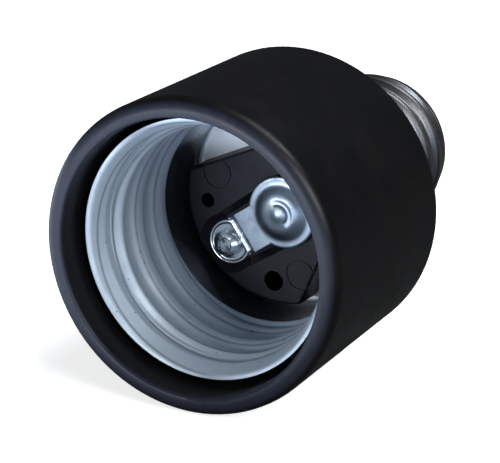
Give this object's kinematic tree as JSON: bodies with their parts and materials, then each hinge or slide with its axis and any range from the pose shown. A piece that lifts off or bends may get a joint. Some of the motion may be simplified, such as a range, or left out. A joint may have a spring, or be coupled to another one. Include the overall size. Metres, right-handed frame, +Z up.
{
  "type": "lamp socket adapter",
  "caption": "Adapter with a wide screw socket in a round black housing at the mouth and a smaller screw cap behind, wired through.",
  "frame": {"origin": "centre of the housing's rear shoulder on the lamp axis, where the screw cap begins", "axes": "+Y along the lamp axis from the shoulder towards the cap, so the socket's mouth faces -Y; +Z up, +X to the right seen from the mouth's side"},
  "size_m": [0.0532, 0.0771, 0.053],
  "materials": {
    "housing_plastic": "satin black moulding",
    "socket_plating": "plated sheet, turned lines",
    "carrier_moulding": "fine grained charcoal moulding",
    "contact_metal": "dull plated spring sheet",
    "screw_steel": "plated steel",
    "tag_metal": "tinned brass",
    "cap_plating": "nickel plated sheet",
    "plug_moulding": "black moulding",
    "tip_metal": "plated brass",
    "solder": "solder",
    "wire_copper": "copper",
    "wire_sleeve": "red insulation",
    "wire_sleeve_dark": "black insulation"
  },
  "bodies": {
    "root": {"housing": "housing_plastic", "e40_shell": "socket_plating", "contact_carrier": "carrier_moulding", "centre_contact": "contact_metal", "contact_screw": "screw_steel", "contact_washer": "screw_steel", "contact_nut": "screw_steel", "centre_tag": "tag_metal", "side_tag": "tag_metal", "fixing_screws": "screw_steel", "e27_shell": "cap_plating", "e27_insulator": "plug_moulding", "e27_tip": "tip_metal", "tip_solder": "solder", "centre_lead_core": "wire_copper", "centre_lead_sleeve": "wire_sleeve", "side_lead_core": "wire_copper", "side_lead_sleeve": "wire_sleeve_dark", "centre_tag_solder": "solder", "side_tag_solder": "solder", "cap_solder": "solder"}
  },
  "joints": []
}
